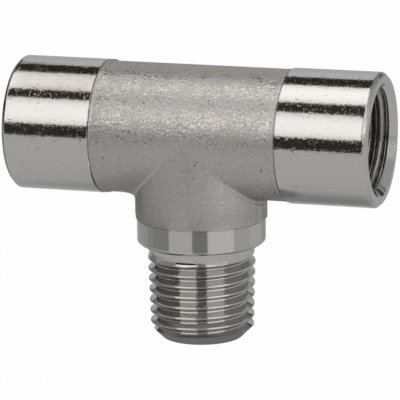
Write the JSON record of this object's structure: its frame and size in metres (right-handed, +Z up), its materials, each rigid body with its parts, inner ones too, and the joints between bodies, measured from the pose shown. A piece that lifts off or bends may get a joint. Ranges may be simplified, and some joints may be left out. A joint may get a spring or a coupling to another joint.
{
  "type": "pipe tee",
  "caption": "Forged pipe tee: an internally threaded port at each end of a straight run, and a short branch with an external taper thread, bored through in all directions.",
  "frame": {"origin": "centre of the male thread's end face, on which the tee stands", "axes": "+Z up along the branch's axis, from the male end towards the run. +X along the run's axis, towards the right port"},
  "size_m": [0.046, 0.0166, 0.0341],
  "materials": {
    "nickel_plated_brass": "nickel plate: bright on the turned collars and threads, satin where the forging was shot-blasted"
  },
  "bodies": {
    "root": {"tee_body": "nickel_plated_brass"}
  },
  "joints": []
}
